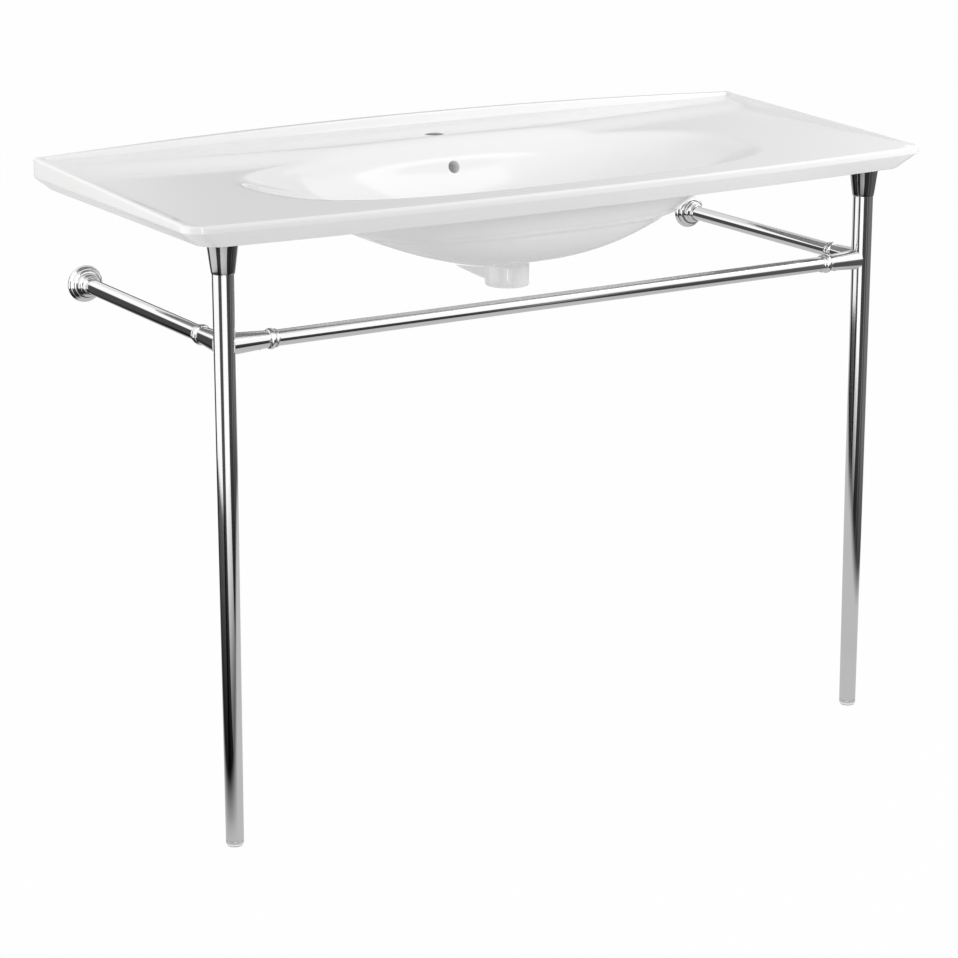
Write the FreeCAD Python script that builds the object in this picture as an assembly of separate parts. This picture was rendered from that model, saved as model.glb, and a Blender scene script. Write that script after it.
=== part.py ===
import FreeCAD, Part
import os
from math import asin, copysign, cos, pi, sin, sqrt

# Console sink with two front legs. Millimetres, +X to the right as seen from the front,
# +Y towards the wall, +Z up. The origin is on the floor, under the middle of the basin.

# Overall sizes
basin_width = 1200.0
basin_depth = 521.0
leg_side_inset = 73.0
leg_front_inset = 79.0
underside_height = 838.0
bar_height = 699.0

# Basin slab
front_bow = 26.0
corner_radius = 30.0
fascia_height = 10.5
undercut_height = 21.5
undercut_side_inset = 28.0
undercut_front_inset = 16.0
apron_thickness = 24.0
deck_thickness = 15.0
edge_round = 3.5

# Raised rims, upstand and tap ledge
rim_rise = 17.0
rim_top_width = 10.0
rim_inner_slope = 0.8
upstand_thickness = 14.0
upstand_bow = 14.0
ledge_rise = 12.0
ledge_bow = 4.0
ledge_depth_middle = 136.0
ledge_depth_end = 100.0
back_wall_thickness = 20.0

# Bowl: each row is a level below the deck, half the width, and the distances of its front and
# rear wall from the wall of the room. The front corners of the oval are squarer than the rear.
bowl_levels = [
    (-16.0, 392.0, 476.0, 129.0),
    (0.0, 382.0, 468.0, 134.0),
    (9.0, 366.0, 456.0, 139.0),
    (28.0, 316.0, 442.0, 147.0),
    (55.0, 262.0, 430.0, 158.0),
    (83.0, 203.0, 412.0, 175.0),
    (106.0, 143.0, 385.0, 199.0),
    (119.0, 96.0, 357.0, 226.0),
    (126.0, 60.0, 334.0, 258.0),
]
bowl_front_power = 3.1
bowl_rear_power = 2.4
bowl_widest_share = 0.45
bowl_wall = 12.0
oval_points = 48

# Drain, overflow and tap
drain_from_wall = 295.0
drain_bore_radius = 23.0
drain_seat_radius = 32.0
drain_seat_drop = 2.5
boss_radius = 32.5
boss_bottom_below_deck = 177.0
web_width = 44.0
web_step = 2.0
duct_width = 18.0
overflow_radius = 9.0
overflow_below_deck = 29.0
overflow_from_wall = 132.0
tap_hole_radius = 14.0
tap_from_wall = 90.0
wall_hole_radius = 7.0
wall_hole_spacing = 560.0
wall_hole_rise = 16.0

# Outer line of the overflow web and line of the duct in it: distance from the wall of the room,
# and level below the deck
web_line = [(112.0, 30.0), (119.0, 66.0), (134.0, 108.0), (158.0, 150.0), (175.0, 167.0), (262.0, 175.0)]
duct_outer_line = [(121.0, 20.0), (128.0, 60.0), (143.0, 100.0), (165.0, 135.0), (200.0, 160.0)]
duct_inner_line = [
    (136.0, 20.0), (138.0, 30.0), (148.0, 55.0), (163.0, 83.0), (186.0, 110.0), (215.0, 132.0),
]
duct_mouth_top = 145.0
duct_mouth_bottom = 163.0

# Legs
leg_top_radius = 15.2
leg_bottom_radius = 12.3
leg_wall = 1.5
capital_top_radius = 21.8
capital_bottom_radius = 15.9
capital_height = 42.0
capital_socket_depth = 22.0
pad_thickness = 1.5
pad_inset = 1.5
stud_radius = 4.0
stud_length = 36.0
stud_into_basin = 14.0
leg_boss_radius = 34.0

# Feet
glide_thickness = 1.5
glide_inset = 0.3
foot_cap_height = 6.0
foot_cap_round = 2.0
foot_stem_radius = 4.0
foot_insert_length = 24.0
foot_travel = 15.0
foot_stem_spare = 3.0

# Rails and sockets
rail_radius = 11.0
rail_wall = 1.5
socket_root_radius = 16.0
socket_mouth_radius = 12.2
socket_length = 62.0
socket_bore_depth = 26.0
collar_length = 16.0
collar_body_radius = 11.9
collar_bead_rise = 1.4
grub_radius = 2.5
grub_setback = 12.0

# Wall plates and roses
plate_radius = 20.0
plate_thickness = 3.0
spigot_length = 18.0
plate_hole_radius = 2.25
plate_hole_circle = 31.0
plate_hole_count = 3
plate_screw_radius = 2.2
plate_screw_head_radius = 4.0
plate_screw_head_height = 2.0
rose_steps = [(26.5, 6.0), (22.5, 12.0), (17.0, 19.0), (14.0, 26.0)]
rose_edge_round = 1.6
rose_wall = 2.2

# Clearances
seat_gap = 0.05
slide_gap = 0.08
body_gap = 0.3

# Worked out from the sizes above
deck_height = underside_height + undercut_height + fascia_height
crease_height = underside_height + undercut_height
wall_y = basin_depth / 2
leg_y = leg_front_inset - basin_depth / 2
leg_x = basin_width / 2 - leg_side_inset
rim_end_y = wall_y - basin_depth + front_bow + corner_radius
capital_top = underside_height - pad_thickness
capital_bottom = capital_top - capital_height
leg_tube_bottom = glide_thickness + foot_cap_height + body_gap
leg_tube_top = capital_bottom + capital_socket_depth
foot_stem_length = foot_insert_length + foot_travel + foot_stem_spare
sides = {"left": -1, "right": 1}

# Height of shapes that only cut or trim, and how far short cutters reach past what they open
tall = 100.0
over = 1.0


def vec(x, y, z):
    return FreeCAD.Vector(x, y, z)


def cylinder(radius, start, direction, length):
    return Part.makeCylinder(radius, length, start, direction)


def cone(start_radius, end_radius, start, direction, length):
    return Part.makeCone(start_radius, end_radius, length, start, direction)


def extruded(points, direction):
    return Part.Face(Part.makePolygon(points + [points[0]])).extrude(direction)


def moved(shape, x):
    copy = shape.copy()
    copy.translate(vec(x, 0, 0))
    return copy


def fused(shapes):
    whole = shapes[0]
    for shape in shapes[1:]:
        whole = whole.fuse(shape)
    return whole.removeSplitter()


def leg_radius(height):
    """Outer radius of the tapered leg at a height above the floor."""
    share = (height - leg_tube_bottom) / (leg_tube_top - leg_tube_bottom)
    return leg_bottom_radius + (leg_top_radius - leg_bottom_radius) * share


# Basin

def plan_wire(height, side_inset, front_inset):
    """Outline of the slab at a height: straight back and sides, rounded corners, bowed front."""
    half = basin_width / 2 - side_inset
    front = wall_y - basin_depth + front_inset
    bow_radius = ((basin_width / 2) ** 2 + front_bow ** 2) / (2 * front_bow)
    bow_centre = front + bow_radius
    reach = bow_radius - corner_radius
    corner_x = half - corner_radius
    corner_y = bow_centre - sqrt(reach ** 2 - corner_x ** 2)
    lean = asin(corner_x / reach)
    foot = vec(corner_x + corner_radius * sin(lean), corner_y - corner_radius * cos(lean), height)
    turn = (pi / 2 - lean) / 2
    bulge = vec(corner_x + corner_radius * cos(turn), corner_y - corner_radius * sin(turn), height)
    mirror = [vec(-p.x, p.y, p.z) for p in (foot, bulge)]
    edges = [
        Part.LineSegment(vec(-half, wall_y, height), vec(half, wall_y, height)),
        Part.LineSegment(vec(half, wall_y, height), vec(half, corner_y, height)),
        Part.Arc(vec(half, corner_y, height), bulge, foot),
        Part.Arc(foot, vec(0, front, height), mirror[0]),
        Part.Arc(mirror[0], mirror[1], vec(-half, corner_y, height)),
        Part.LineSegment(vec(-half, corner_y, height), vec(-half, wall_y, height)),
    ]
    return Part.Wire([edge.toShape() for edge in edges])


def slab_block():
    """Upright fascia over an undercut that draws in at the front and sides."""
    inset = (undercut_side_inset, undercut_front_inset)
    bottom = plan_wire(underside_height, *inset)
    crease = plan_wire(crease_height, 0, 0)
    undercut = Part.makeLoft([bottom, crease], True, True)
    upright = Part.Face(plan_wire(crease_height, 0, 0)).extrude(vec(0, 0, tall))
    return undercut.fuse(upright)


def above_rims():
    """Everything over the side rims, which fall in a straight line to the deck."""
    top = deck_height + 2 * tall
    upstand_y = wall_y - upstand_thickness
    fall = rim_rise / (wall_y - rim_end_y)
    profile = [
        (wall_y - basin_depth - tall, deck_height),
        (rim_end_y, deck_height),
        (upstand_y, deck_height + rim_rise - fall * upstand_thickness),
        (upstand_y, top),
        (wall_y - basin_depth - tall, top),
    ]
    points = [vec(-basin_width, y, z) for y, z in profile]
    return extruded(points, vec(2 * basin_width, 0, 0))


def bowed_block(near_y, far_y, middle_height, end_height, base):
    """Block along Y between a level base and a long arc in the XZ plane."""
    half = basin_width / 2
    start = vec(-half, near_y, end_height)
    end = vec(half, near_y, end_height)
    arc = Part.Arc(start, vec(0, near_y, middle_height), end)
    rest = Part.makePolygon([end, vec(half, near_y, base), vec(-half, near_y, base), start])
    wire = Part.Wire([arc.toShape()] + rest.Edges)
    return Part.Face(wire).extrude(vec(0, far_y - near_y, 0))


def above_upstand():
    end = deck_height + rim_rise
    return bowed_block(wall_y - upstand_thickness, wall_y, end + upstand_bow, end, end + tall)


def deck_pocket():
    """Space over the deck, between the inner slopes of the side rims and the upstand."""
    upstand_y = wall_y - upstand_thickness
    inner = basin_width / 2 - rim_top_width
    fall = rim_rise / (wall_y - rim_end_y)
    sections = []
    for y in (upstand_y, rim_end_y):
        rise = fall * (y - rim_end_y)
        low = inner - rim_inner_slope * rise
        high = low + rim_inner_slope * tall
        corners = [
            vec(-low, y, deck_height),
            vec(low, y, deck_height),
            vec(high, y, deck_height + tall),
            vec(-high, y, deck_height + tall),
        ]
        sections.append(Part.makePolygon(corners + [corners[0]]))
    return Part.makeLoft(sections, True, True)


def ledge_plan(height, inset):
    """Face of the ledge seen from above, with its front line an arc."""
    half = basin_width / 2 - rim_top_width / 2 - inset
    back = wall_y - upstand_thickness / 2
    end = wall_y - ledge_depth_end + inset
    middle = wall_y - ledge_depth_middle + inset
    front = Part.Arc(vec(-half, end, height), vec(0, middle, height), vec(half, end, height))
    corners = [(half, end), (half, back), (-half, back), (-half, end)]
    rest = Part.makePolygon([vec(x, y, height) for x, y in corners])
    return Part.Face(Part.Wire([front.toShape()] + rest.Edges))


def tap_ledge():
    """Raised ledge along the wall, deeper at the middle, with a slightly bowed top."""
    low = deck_height - deck_thickness / 2
    block = ledge_plan(low, 0).extrude(vec(0, 0, tall))
    top = deck_height + ledge_rise
    under = bowed_block(wall_y - basin_depth, wall_y, top, top - ledge_bow, low)
    return block.common(under)


def oval_wire(half_width, front_y, rear_y, height):
    """Closed smooth curve through points of an oval with squarer front corners."""
    middle = rear_y + (front_y - rear_y) * bowl_widest_share
    points = []
    for i in range(oval_points):
        angle = 2 * pi * i / oval_points
        front = sin(angle) < 0
        power = bowl_front_power if front else bowl_rear_power
        reach = middle - front_y if front else rear_y - middle
        across = copysign(abs(cos(angle)) ** (2 / power), cos(angle))
        along = copysign(abs(sin(angle)) ** (2 / power), sin(angle))
        points.append(vec(half_width * across, middle + reach * along, height))
    curve = Part.BSplineCurve()
    curve.interpolate(Points=points, PeriodicFlag=True)
    return Part.Wire(curve.toShape())


def bowl_solid(wall):
    """Smooth bowl through the ovals; a wall thickness gives the outer form."""
    wires = []
    for level, half_width, front, rear in bowl_levels:
        if wall and level < 0:
            continue
        height = deck_height - level - wall
        wires.append(oval_wire(half_width + wall, wall_y - front - wall, wall_y - rear + wall, height))
    return Part.makeLoft(wires, True, False)


def drain_boss():
    bottom = deck_height - boss_bottom_below_deck
    centre = vec(0, wall_y - drain_from_wall, bottom)
    height = boss_bottom_below_deck - bowl_levels[-1][0] - bowl_wall / 2
    return cylinder(boss_radius, centre, vec(0, 0, 1), height)


def side_profile(points, width):
    """Block with a profile of distance from the wall and depth below the deck."""
    corners = [vec(-width / 2, wall_y - y, deck_height - z) for y, z in points]
    return extruded(corners, vec(width, 0, 0))


def overflow_web():
    bottom = boss_bottom_below_deck - web_step
    start = [(web_line[0][0], deck_thickness)]
    drain_end = [(drain_from_wall, bottom), (drain_from_wall, bottom - boss_radius)]
    inner = [(overflow_from_wall, deck_thickness)]
    return side_profile(start + web_line + drain_end + inner, web_width)


def overflow_duct():
    mouth = [(drain_from_wall, duct_mouth_bottom), (drain_from_wall, duct_mouth_top)]
    return side_profile(duct_outer_line + mouth + duct_inner_line[::-1], duct_width)


def underside_recess():
    """Hollow under the deck, inside an apron."""
    side = undercut_side_inset + apron_thickness
    front = undercut_front_inset + apron_thickness
    plan = Part.Face(plan_wire(underside_height - over, side, front))
    ceiling = deck_height - deck_thickness
    hollow = plan.extrude(vec(0, 0, ceiling - underside_height + over))
    keep = Part.makeBox(basin_width, back_wall_thickness, tall,
                        vec(-basin_width / 2, wall_y - back_wall_thickness, underside_height - tall / 2))
    return hollow.cut(keep)


def ledge_recess():
    """Hollow under the ledge, inside the apron and the back wall."""
    low = deck_height - deck_thickness - over
    high = deck_height + ledge_rise - ledge_bow - deck_thickness
    hollow = ledge_plan(low, deck_thickness).extrude(vec(0, 0, high - low))
    half = basin_width / 2 - undercut_side_inset - apron_thickness
    far = wall_y - back_wall_thickness
    room = Part.makeBox(2 * half, basin_depth, tall, vec(-half, far - basin_depth, low))
    return hollow.common(room)


def wall_holes():
    height = underside_height + wall_hole_rise
    start = wall_y - back_wall_thickness - over
    length = back_wall_thickness + 2 * over
    places = [vec(side * wall_hole_spacing / 2, start, height) for side in sides.values()]
    return [cylinder(wall_hole_radius, place, vec(0, 1, 0), length) for place in places]


def rounded_slab():
    """Slab with rims, deck and a softened outer top edge."""
    slab = slab_block().cut(above_rims()).cut(above_upstand()).cut(deck_pocket()).removeSplitter()
    limit = basin_width / 2 - 0.01
    top_edges = []
    for edge in slab.Edges:
        box = edge.BoundBox
        on_side = min(abs(box.XMin), abs(box.XMax)) > limit and box.YLength > corner_radius
        high = box.ZMin > crease_height + fascia_height / 2
        ahead = box.YMax < rim_end_y + over and box.ZLength < 0.01
        if high and (on_side or (ahead and box.XLength > over and box.YMin < rim_end_y - over)):
            top_edges.append(edge)
    return slab.makeFillet(edge_round, top_edges)


def leg_bosses():
    """Pads inside the apron that take the studs over the legs."""
    inside = Part.Face(plan_wire(underside_height, undercut_side_inset, undercut_front_inset))
    inside = inside.extrude(vec(0, 0, tall))
    height = undercut_height + fascia_height - deck_thickness / 2
    places = [vec(side * leg_x, leg_y, underside_height) for side in sides.values()]
    return [cylinder(leg_boss_radius, place, vec(0, 0, 1), height).common(inside) for place in places]


def make_basin():
    slab = rounded_slab().fuse(tap_ledge())
    slab = slab.cut(underside_recess()).cut(ledge_recess())
    basin = slab.fuse(leg_bosses() + [bowl_solid(bowl_wall), drain_boss(), overflow_web()])
    drain = vec(0, wall_y - drain_from_wall, deck_height - boss_bottom_below_deck - over)
    seat = vec(0, drain.y, deck_height - bowl_levels[-1][0] - drain_seat_drop)
    tap = vec(0, wall_y - tap_from_wall, deck_height - tall / 2)
    overflow = vec(0, wall_y - overflow_from_wall, deck_height - overflow_below_deck)
    tools = [
        bowl_solid(0),
        cylinder(drain_bore_radius, drain, vec(0, 0, 1), tall),
        cylinder(drain_seat_radius, seat, vec(0, 0, 1), tall / 4),
        overflow_duct(),
        cylinder(overflow_radius, overflow, vec(0, -1, 0), tall / 4),
        cylinder(tap_hole_radius, tap, vec(0, 0, 1), tall),
    ]
    for side in sides.values():
        start = vec(side * leg_x, leg_y, underside_height - over)
        tools.append(cylinder(stud_radius + seat_gap, start, vec(0, 0, 1), stud_into_basin + 2 * over))
    return basin.cut(tools + wall_holes())


# Legs

def leg_outer(extra):
    base = vec(0, leg_y, leg_tube_bottom)
    length = leg_tube_top - leg_tube_bottom
    return cone(leg_bottom_radius + extra, leg_top_radius + extra, base, vec(0, 0, 1), length)


def leg_tube(x):
    tube = leg_outer(0).cut(leg_outer(-leg_wall))
    return moved(tube, x)


def leg_capital(x):
    base = vec(x, leg_y, capital_bottom)
    up = vec(0, 0, 1)
    body = cone(capital_bottom_radius, capital_top_radius, base, up, capital_height)
    socket = moved(leg_outer(seat_gap), x)
    stud_hole = cylinder(stud_radius + seat_gap, base, up, capital_height + over)
    return body.cut(socket).cut(stud_hole)


def capital_pad(x):
    base = vec(x, leg_y, capital_top)
    pad = cylinder(capital_top_radius - pad_inset, base, vec(0, 0, 1), pad_thickness)
    return pad.cut(cylinder(stud_radius + seat_gap, base, vec(0, 0, 1), pad_thickness))


def capital_studs():
    top = underside_height + stud_into_basin
    studs = []
    for side in sides.values():
        base = vec(side * leg_x, leg_y, top - stud_length)
        studs.append(cylinder(stud_radius, base, vec(0, 0, 1), stud_length))
    return Part.makeCompound(studs)


# Feet

def foot(x):
    """Rounded cap with a threaded stem that runs in the plug."""
    base = vec(x, leg_y, glide_thickness)
    up = vec(0, 0, 1)
    cap = cylinder(leg_bottom_radius, base, up, foot_cap_height)
    lower = [edge for edge in cap.Edges if edge.BoundBox.ZMax < glide_thickness + 0.01]
    cap = cap.makeFillet(foot_cap_round, lower)
    stem = cylinder(foot_stem_radius, base, up, foot_cap_height + foot_stem_length)
    return cap.fuse(stem).removeSplitter()


def foot_glide(x):
    base = vec(x, leg_y, 0)
    return cylinder(leg_bottom_radius - foot_cap_round - glide_inset, base, vec(0, 0, 1), glide_thickness)


def foot_insert(x):
    base = vec(x, leg_y, leg_tube_bottom)
    up = vec(0, 0, 1)
    plug = cylinder(leg_bottom_radius - leg_wall - seat_gap, base, up, foot_insert_length)
    return plug.cut(cylinder(foot_stem_radius + slide_gap, base, up, foot_insert_length))


# Rails and sockets

def tube(radius, wall, start, direction, length):
    outer = cylinder(radius, start, direction, length)
    return outer.cut(cylinder(radius - wall, start, direction, length))


def cross_bar():
    inner_end = leg_x - socket_length + socket_bore_depth
    start = vec(-inner_end, leg_y, bar_height)
    return tube(rail_radius, rail_wall, start, vec(1, 0, 0), 2 * inner_end)


def side_rail(x):
    start = vec(x, leg_y + socket_length - socket_bore_depth, bar_height)
    length = wall_y - plate_thickness - start.y
    return tube(rail_radius, rail_wall, start, vec(0, 1, 0), length)


def socket_cone(x, direction, extra):
    centre = vec(x, leg_y, bar_height)
    return cone(socket_root_radius + extra, socket_mouth_radius + extra, centre, direction, socket_length)


def grub_place(x, direction):
    return vec(x, leg_y, bar_height) + direction * (socket_length - grub_setback)


def bored(body, x, direction):
    """Opens the socket for the bar and for its grub screw, and fits it to the leg."""
    start = vec(x, leg_y, bar_height) + direction * (socket_length - socket_bore_depth)
    bore = cylinder(rail_radius + seat_gap, start, direction, socket_bore_depth)
    grub = cylinder(grub_radius + seat_gap, grub_place(x, direction), vec(0, 0, -1), socket_root_radius)
    return body.cut([moved(leg_outer(0), x), bore, grub])


def cross_socket(x, side):
    direction = vec(-side, 0, 0)
    return bored(socket_cone(x, direction, 0), x, direction)


def rail_socket(x, side):
    back = vec(0, 1, 0)
    body = bored(socket_cone(x, back, 0), x, back)
    return body.cut(socket_cone(x, vec(-side, 0, 0), seat_gap))


def grub_screws():
    screws = []
    for side in sides.values():
        for direction in (vec(-side, 0, 0), vec(0, 1, 0)):
            place = grub_place(side * leg_x, direction)
            taper = (socket_root_radius - socket_mouth_radius) / socket_length
            reach = socket_mouth_radius + taper * (grub_setback - grub_radius)
            start = place + vec(0, 0, -reach)
            screws.append(cylinder(grub_radius, start, vec(0, 0, 1), reach - rail_radius - seat_gap))
    return Part.makeCompound(screws)


def collar(x, direction):
    """Sleeve with two beads, against the socket's mouth."""
    start = vec(x, leg_y, bar_height) + direction * socket_length
    sleeve = cylinder(collar_body_radius, start, direction, collar_length)
    bead_radius = collar_length / 4
    ring_radius = collar_body_radius + collar_bead_rise - bead_radius
    shapes = [sleeve]
    for share in (1, 3):
        centre = start + direction * (share * collar_length / 4)
        shapes.append(Part.makeTorus(ring_radius, bead_radius, centre, direction))
    bore = cylinder(rail_radius + seat_gap, start - direction * over, direction, collar_length + 2 * over)
    return fused(shapes).cut(bore)


# Wall plates and roses

def wall_plate(x):
    """Screwed plate with a spigot inside the rail's end."""
    wall = vec(x, wall_y, bar_height)
    out = vec(0, -1, 0)
    plate = cylinder(plate_radius, wall, out, plate_thickness)
    spigot = cylinder(rail_radius - rail_wall - seat_gap, wall, out, plate_thickness + spigot_length)
    holes = [cylinder(plate_hole_radius, place, out, plate_thickness) for place in screw_places(x)]
    return fused([plate, spigot]).cut(holes)


def screw_places(x):
    places = []
    for i in range(plate_hole_count):
        angle = pi / 2 + 2 * pi * i / plate_hole_count
        offset = vec(cos(angle), 0, sin(angle)) * (plate_hole_circle / 2)
        places.append(vec(x, wall_y, bar_height) + offset)
    return places


def plate_screws():
    """Shanks from the wall's face through the plates, with low round heads."""
    out = vec(0, -1, 0)
    screws = []
    for side in sides.values():
        for place in screw_places(side * leg_x):
            shank = cylinder(plate_screw_radius, place, out, plate_thickness)
            seat = place + out * plate_thickness
            head = cylinder(plate_screw_head_radius, seat, out, plate_screw_head_height)
            screws.append(fused([shank, head]))
    return Part.makeCompound(screws)


def wall_rose(x):
    """Stepped cover with rounded steps, hollow over the plate and running on the rail."""
    wall = vec(x, wall_y, bar_height)
    out = vec(0, -1, 0)
    steps = []
    for radius, reach in rose_steps:
        step = cylinder(radius, wall, out, reach)
        rim = [edge for edge in step.Edges if edge.BoundBox.YMax < wall_y - reach + 0.01]
        steps.append(step.makeFillet(rose_edge_round, rim))
    body = fused(steps)
    hollow = cylinder(plate_radius + body_gap, wall, out, rose_steps[0][1] + rose_wall)
    bore = cylinder(rail_radius + slide_gap, wall, out, rose_steps[-1][1] + over)
    return body.cut([hollow, bore])


def export(name, shape):
    if not shape.isValid():
        print("not valid:", name)
    print(f"{name:24s} solids {len(shape.Solids)}  volume {shape.Volume / 1000:9.2f} cm3")
    shape.exportStep(f"parts/{name}.step")


def main():
    os.makedirs("parts", exist_ok=True)
    export("basin", make_basin())
    export("cross_bar", cross_bar())
    export("capital_studs", capital_studs())
    export("socket_grub_screws", grub_screws())
    export("plate_screws", plate_screws())
    for name, side in sides.items():
        x = side * leg_x
        across = vec(-side, 0, 0)
        export(f"leg_tube_{name}", leg_tube(x))
        export(f"leg_capital_{name}", leg_capital(x))
        export(f"capital_pad_{name}", capital_pad(x))
        export(f"foot_{name}", foot(x))
        export(f"foot_glide_{name}", foot_glide(x))
        export(f"foot_insert_{name}", foot_insert(x))
        export(f"side_rail_{name}", side_rail(x))
        export(f"cross_socket_{name}", cross_socket(x, side))
        export(f"rail_socket_{name}", rail_socket(x, side))
        export(f"cross_collar_{name}", collar(x, across))
        export(f"rail_collar_{name}", collar(x, vec(0, 1, 0)))
        export(f"wall_plate_{name}", wall_plate(x))
        export(f"wall_rose_{name}", wall_rose(x))


main()
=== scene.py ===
import math

import bmesh
import bpy
import numpy as np
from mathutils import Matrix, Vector


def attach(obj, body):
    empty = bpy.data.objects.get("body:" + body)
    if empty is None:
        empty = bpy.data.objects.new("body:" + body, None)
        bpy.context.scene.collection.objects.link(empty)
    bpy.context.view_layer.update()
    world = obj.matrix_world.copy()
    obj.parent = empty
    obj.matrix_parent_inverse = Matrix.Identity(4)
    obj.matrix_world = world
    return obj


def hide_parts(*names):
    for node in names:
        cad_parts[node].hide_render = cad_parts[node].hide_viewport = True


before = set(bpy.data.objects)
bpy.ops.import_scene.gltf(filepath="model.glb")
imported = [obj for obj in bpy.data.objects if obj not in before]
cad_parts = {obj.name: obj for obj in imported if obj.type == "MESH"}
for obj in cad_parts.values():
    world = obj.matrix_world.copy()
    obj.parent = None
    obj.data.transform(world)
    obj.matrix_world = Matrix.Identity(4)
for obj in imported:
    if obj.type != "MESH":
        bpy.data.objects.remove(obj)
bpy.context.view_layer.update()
print("frame loaded:", len(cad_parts), "nodes")

mm = 0.001
sides = {"left": -1, "right": 1}


# mesh helpers

def makePiece(name, points, faces, body, material, sharpAngle=38, replaces=()):
    # points in millimetres, faces as index rows; a negative volume means the faces look inwards
    faces = np.asarray(faces)
    tri = points[faces[:, [0, 1, 2]]]
    volume = np.einsum("ij,ij->i", tri[:, 0], np.cross(tri[:, 1], tri[:, 2])).sum()
    if faces.shape[1] == 4:
        tri = points[faces[:, [0, 2, 3]]]
        volume += np.einsum("ij,ij->i", tri[:, 0], np.cross(tri[:, 1], tri[:, 2])).sum()
    if volume < 0:
        faces = faces[:, ::-1]
    mesh = bpy.data.meshes.new(name)
    mesh.from_pydata((points * mm).tolist(), [], faces.tolist())
    mesh.validate()
    piece = bpy.data.objects.new(name, mesh)
    bpy.context.scene.collection.objects.link(piece)
    finishPiece(piece, body, material, sharpAngle, replaces)
    return piece


def finishPiece(piece, body, material, sharpAngle=38, replaces=()):
    piece.data.polygons.foreach_set("use_smooth", np.ones(len(piece.data.polygons), bool))
    piece.data.set_sharp_from_angle(angle=math.radians(sharpAngle))
    if not piece.data.materials:
        piece.data.materials.append(material)
    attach(piece, body)
    if replaces:
        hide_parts(*replaces)


def gridFaces(rows, columns, wrapRows=False):
    # quads of a grid whose columns always close round, and its rows too if asked
    down = np.arange(rows if wrapRows else rows - 1)
    across = np.arange(columns)
    r, c = np.meshgrid(down, across, indexing="ij")
    r2, c2 = (r + 1) % rows, (c + 1) % columns
    corners = [r * columns + c, r * columns + c2, r2 * columns + c2, r2 * columns + c]
    return np.stack([corner.ravel() for corner in corners], 1)


def smoothMin(a, b, blend):
    # lower of two heights, with the corner between them rounded over the blend width
    share = np.clip(0.5 + 0.5 * (b - a) / blend, 0, 1)
    return b + (a - b) * share - blend * share * (1 - share)


def smoothMax(a, b, blend):
    return -smoothMin(-a, -b, blend)


def naturalSpline(knots, values, at):
    # cubic through the knots with no bend at its ends, for one column of values
    n = len(knots)
    gap = np.diff(knots)
    matrix = np.eye(n)
    right = np.zeros(n)
    for i in range(1, n - 1):
        matrix[i, i - 1:i + 2] = gap[i - 1], 2 * (gap[i - 1] + gap[i]), gap[i]
        slopes = (values[i] - values[i - 1]) / gap[i - 1], (values[i + 1] - values[i]) / gap[i]
        right[i] = 6 * (slopes[1] - slopes[0])
    bend = np.linalg.solve(matrix, right)
    i = np.clip(np.searchsorted(knots, at) - 1, 0, n - 2)
    before, after = knots[i + 1] - at, at - knots[i]
    return ((bend[i] * before ** 3 + bend[i + 1] * after ** 3) / (6 * gap[i])
            + (values[i] / gap[i] - bend[i] * gap[i] / 6) * before
            + (values[i + 1] / gap[i] - bend[i + 1] * gap[i] / 6) * after)


# materials

def newMaterial(name, **values):
    material = bpy.data.materials.new(name)
    material.use_nodes = True
    shader = material.node_tree.nodes["Principled BSDF"]
    for key, value in values.items():
        shader.inputs[key].default_value = value
    return material, material.node_tree, shader


def addNode(tree, kind, inputs=None, **settings):
    node = tree.nodes.new(kind)
    for key, value in settings.items():
        setattr(node, key, value)
    for key, value in (inputs or {}).items():
        if hasattr(value, "is_output"):
            tree.links.new(value, node.inputs[key])
        else:
            node.inputs[key].default_value = value
    return node


def objectNoise(tree, scale, detail=3.0, roughness=0.5, stretch=(1, 1, 1)):
    place = addNode(tree, "ShaderNodeTexCoord").outputs["Object"]
    stretched = addNode(tree, "ShaderNodeMapping", {"Vector": place, "Scale": stretch}).outputs["Vector"]
    inputs = {"Vector": stretched, "Scale": scale, "Detail": detail, "Roughness": roughness}
    return addNode(tree, "ShaderNodeTexNoise", inputs).outputs["Fac"]


def ramp(tree, value, low, high, toLow, toHigh):
    inputs = {"Value": value, "From Min": low, "From Max": high, "To Min": toLow, "To Max": toHigh}
    return addNode(tree, "ShaderNodeMapRange", inputs).outputs["Result"]


def mixColour(tree, factor, first, second):
    node = addNode(tree, "ShaderNodeMix", data_type="RGBA")
    for socket, value in ((node.inputs[0], factor), (node.inputs[6], first), (node.inputs[7], second)):
        if hasattr(value, "is_output"):
            tree.links.new(value, socket)
        else:
            socket.default_value = value
    return node.outputs[2]


def setColour(tree, shader, factor, first, second):
    tree.links.new(mixColour(tree, factor, first, second), shader.inputs["Base Color"])


def setRoughness(tree, shader, pattern, high, ends):
    # the pattern from 0.3 to high gives a roughness from one end to the other
    tree.links.new(ramp(tree, pattern, 0.3, high, *ends), shader.inputs["Roughness"])


def setBump(tree, shader, pattern, strength, distance):
    bump = addNode(tree, "ShaderNodeBump", {"Height": pattern, "Strength": strength, "Distance": distance})
    tree.links.new(bump.outputs["Normal"], shader.inputs["Normal"])


glaze = dict(
    colour=(0.915, 0.918, 0.918, 1),      # fired white
    warm=(0.905, 0.904, 0.898, 1),        # thinner glaze lets a little clay through
    roughness=(0.05, 0.09),
    cloudScale=5.0, fineScale=60.0, waveScale=22.0,
    ripple=0.006,                         # strength of the slow waves in the glaze
)


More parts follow.
